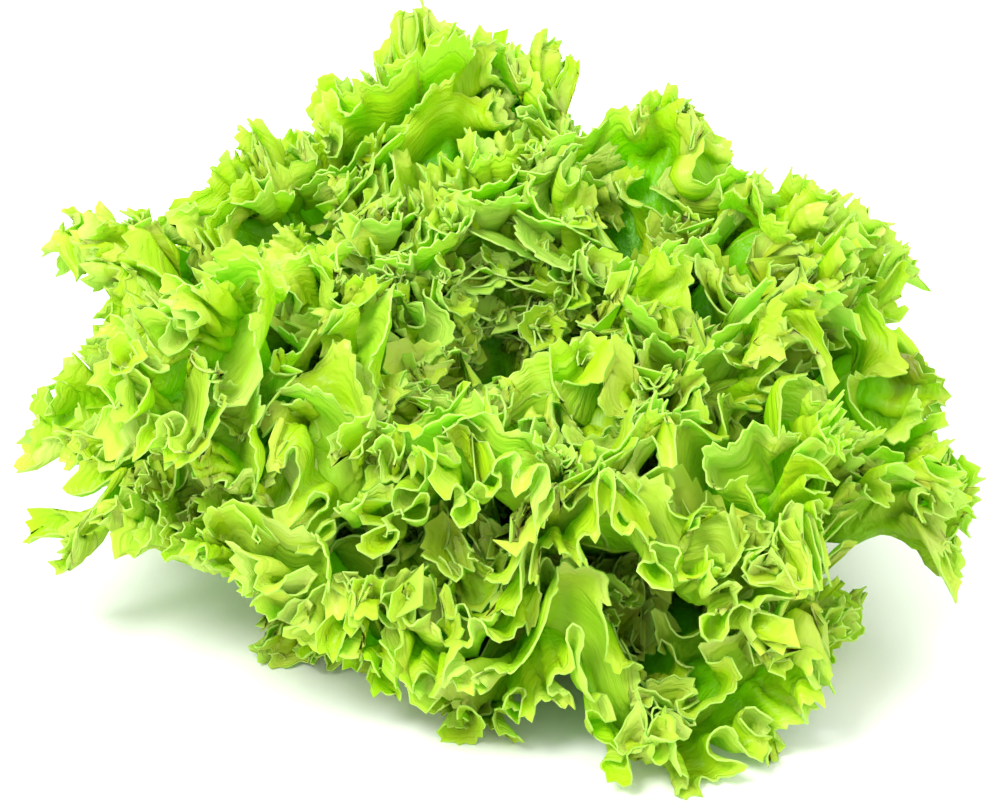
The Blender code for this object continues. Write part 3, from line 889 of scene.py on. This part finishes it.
def leaf_finish(name, colours, gloss, glow, glow_share, vein_strength, bruised=False):
    """Fresh lettuce blade. Colours run from the rib to the margin by the distance to it, uneven by
    noise: darker and greener away from the margin, partly the leaf's own colour and partly painted
    shade for the hollows deep in the head. A fan of paler side veins lies a fixed angle apart, each
    about a millimetre wide. Thin wet tissue lets light through, in a yellower green. A bruise is a
    brown patch about one spot of the head, ragged by the same noise."""
    material, tree, out = new_material(name)
    flat = add(tree, "ShaderNodeUVMap", {"uv_map": "pressed flat"}).outputs["UV"]
    plane = {"noise_dimensions": "2D"}
    margin = add(tree, "ShaderNodeAttribute", {"attribute_name": "margin_mm"}).outputs["Fac"]
    cloud = add(tree, "ShaderNodeTexNoise", plane, {"Vector": flat, "Scale": 9.0, "Detail": 1.0})
    uneven = add(
        tree,
        "ShaderNodeMath",
        {"operation": "MULTIPLY_ADD"},
        {0: cloud.outputs["Fac"], 1: 24.0, 2: -12.0},
    )
    inward = add(tree, "ShaderNodeMath", {"operation": "ADD"}, {0: margin, 1: uneven.outputs[0]})
    share = add(tree, "ShaderNodeMapRange", None, {"Value": inward.outputs[0], "From Max": 60.0})
    # painted shade: the ramp darkens the blade away from its margin, partly its own colour and partly the
    # shade deep in the head
    tint_and_shade = add(tree, "ShaderNodeValToRGB", None, {"Fac": share.outputs["Result"]})
    stops = tint_and_shade.color_ramp.elements
    stops[0].position, stops[0].color = 0.0, linear(colours[0])
    stops[1].position, stops[1].color = 1.0, linear(colours[-1])
    for at, colour in zip((0.12, 0.40), colours[1:-1]):
        stops.new(at).color = linear(colour)
    # the side veins, by the angle from the rib and the distance from the leaf's foot
    parts = add(tree, "ShaderNodeSeparateXYZ", None, {"Vector": flat})
    wobble = add(tree, "ShaderNodeTexNoise", plane, {"Vector": flat, "Scale": 3.0, "Detail": 0.0})
    angle = add(
        tree,
        "ShaderNodeMath",
        {"operation": "ARCTAN2"},
        {0: parts.outputs["X"], 1: parts.outputs["Y"]},
    )
    bent = add(
        tree,
        "ShaderNodeMath",
        {"operation": "MULTIPLY_ADD"},
        {0: wobble.outputs["Fac"], 1: 0.35, 2: angle.outputs[0]},
    )
    turned_by = add(tree, "ShaderNodeMath", {"operation": "PINGPONG"}, {0: bent.outputs[0], 1: 0.11})
    far = add(tree, "ShaderNodeVectorMath", {"operation": "LENGTH"}, {0: flat})
    off_vein = add(
        tree,
        "ShaderNodeMath",
        {"operation": "MULTIPLY"},
        {0: turned_by.outputs[0], 1: far.outputs["Value"]},
    )
    vein = add(
        tree,
        "ShaderNodeMapRange",
        {"interpolation_type": "SMOOTHSTEP"},
        {"Value": off_vein.outputs[0], "From Min": 0.003, "From Max": 0.012, "To Min": 1.0, "To Max": 0.0},
    )
    shown = add(
        tree,
        "ShaderNodeMath",
        {"operation": "MULTIPLY"},
        {0: vein.outputs["Result"], 1: vein_strength},
    )
    tissue = add(
        tree,
        "ShaderNodeMix",
        {"data_type": "RGBA"},
        {0: shown.outputs[0], 6: tint_and_shade.outputs["Color"], 7: linear(colours[0])},
    )
    base = tissue.outputs[2]
    if bruised:
        where = add(tree, "ShaderNodeTexCoord").outputs["Object"]
        away = add(tree, "ShaderNodeVectorMath", {"operation": "DISTANCE"}, {0: where, 1: BRUISE})
        ragged = add(
            tree,
            "ShaderNodeMath",
            {"operation": "MULTIPLY_ADD"},
            {0: uneven.outputs[0], 1: 0.0012, 2: away.outputs["Value"]},
        )
        spoiled = add(
            tree,
            "ShaderNodeMapRange",
            {"interpolation_type": "SMOOTHSTEP"},
            {
                "Value": ragged.outputs[0],
                "From Min": 0.004,
                "From Max": 0.012,
                "To Min": 0.85,
                "To Max": 0.0,
            },
        )
        patch = add(
            tree,
            "ShaderNodeMix",
            {"data_type": "RGBA"},
            {0: spoiled.outputs["Result"], 6: base, 7: linear(BRUISE_COLOUR)},
        )
        base = patch.outputs[2]
    # relief: veins stand out by half a millimetre, over a crinkled texture of 3 mm and finer
    cells = add(tree, "ShaderNodeTexNoise", plane, {"Vector": flat, "Scale": 34.0, "Detail": 2.0})
    relief = add(
        tree,
        "ShaderNodeMath",
        {"operation": "MULTIPLY_ADD"},
        {0: cells.outputs["Fac"], 1: 2.6, 2: vein.outputs["Result"]},
    )
    bump = add(
        tree,
        "ShaderNodeBump",
        None,
        {"Height": relief.outputs[0], "Strength": 0.8, "Distance": 0.0005},
    )
    skin = add(
        tree,
        "ShaderNodeBsdfPrincipled",
        None,
        {
            "Base Color": base,
            "Roughness": gloss,
            "IOR": 1.42,
            "Normal": bump.outputs["Normal"],
        },
    )
    through = add(
        tree,
        "ShaderNodeBsdfTranslucent",
        None,
        {"Color": linear(glow), "Normal": bump.outputs["Normal"]},
    )
    both = add(
        tree,
        "ShaderNodeMixShader",
        None,
        {"Fac": glow_share, 1: skin.outputs[0], 2: through.outputs[0]},
    )
    tree.links.new(both.outputs[0], out.inputs["Surface"])
    return material


# Face: glossy and saturated. Back: paler and duller, its own paler underside with a painted matte sheen.
# Edge: pale bare tissue. Colours run from the margin inwards, darkening partly as painted shade of the
# head's depths. The bruise is on the margin of one leaf on the right.
GLOW = "#a9f70f"
BRUISE, BRUISE_COLOUR = (0.137, -0.024, 0.079), "#86761e"
outer_finishes = [
    leaf_finish(
        "fresh leaf face, outer",
        ["#eef65c", "#d4ee22", "#9cde02", "#62c800"],
        gloss=0.34, glow=GLOW, glow_share=0.48, vein_strength=0.45, bruised=True,
    ),
    leaf_finish(
        "fresh leaf back, outer",
        ["#eef678", "#daf044", "#b2e61c", "#94de14"],
        gloss=0.5, glow=GLOW, glow_share=0.48, vein_strength=0.5, bruised=True,
    ),
    leaf_finish(
        "cut leaf edge, outer",
        ["#def07a", "#d4ea66", "#c9e258", "#c0dc50"],
        gloss=0.5, glow=GLOW, glow_share=0.48, vein_strength=0.0,
    ),
]
for number in range(OUTER_LEAVES):
    label = f"{number + 1:02d}"
    piece = make_leaf(f"frilled_outer_leaf_{label}", number, outer_finishes)
    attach(piece, "root")
    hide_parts(f"outer_leaf_{label}")


# The middle leaves: half grown and upright, they stand over the outer ones and hang outwards at
# their frilled tops. Their tissue is younger and brighter than the outer leaves'.

# Backs paler: their own underside with a painted matte sheen; colours darken inwards partly as painted
# shade
middle_finishes = [
    leaf_finish(
        "fresh leaf face, middle",
        ["#f0f860", "#d8f024", "#a4e204", "#68ce00"],
        gloss=0.34, glow=GLOW, glow_share=0.5, vein_strength=0.45,
    ),
    leaf_finish(
        "fresh leaf back, middle",
        ["#f0f87c", "#def34a", "#baea22", "#9ce218"],
        gloss=0.5, glow=GLOW, glow_share=0.5, vein_strength=0.5,
    ),
    leaf_finish(
        "cut leaf edge, middle",
        ["#e2f284", "#d8ee70", "#d0e860", "#c8e258"],
        gloss=0.5, glow=GLOW, glow_share=0.5, vein_strength=0.0,
    ),
]
for number in range(OUTER_LEAVES, OUTER_LEAVES + MIDDLE_LEAVES):
    label = f"{number + 1 - OUTER_LEAVES:02d}"
    piece = make_leaf(f"frilled_middle_leaf_{label}", number, middle_finishes)
    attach(piece, "root")
    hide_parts(f"middle_leaf_{label}")


# The heart leaves: the youngest, small and crowded round the top of the stem, pale because they
# grew in the shade of the rest.

# Backs paler: their own underside with a painted matte sheen; colours darken inwards partly as painted
# shade
heart_finishes = [
    leaf_finish(
        "fresh leaf face, heart",
        ["#eaf658", "#d0f028", "#9cde0a", "#68ca02"],
        gloss=0.38, glow=GLOW, glow_share=0.5, vein_strength=0.4,
    ),
    leaf_finish(
        "fresh leaf back, heart",
        ["#e6f878", "#d2f056", "#b2e636", "#9cde2c"],
        gloss=0.55, glow=GLOW, glow_share=0.5, vein_strength=0.4,
    ),
    leaf_finish(
        "cut leaf edge, heart",
        ["#e6f48c", "#deee78", "#d6ea6c", "#d0e664"],
        gloss=0.5, glow=GLOW, glow_share=0.5, vein_strength=0.0,
    ),
]
for number in range(OUTER_LEAVES + MIDDLE_LEAVES, LEAF_COUNT):
    label = f"{number + 1 - OUTER_LEAVES - MIDDLE_LEAVES:02d}"
    piece = make_leaf(f"frilled_heart_leaf_{label}", number, heart_finishes)
    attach(piece, "root")
    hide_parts(f"heart_leaf_{label}")
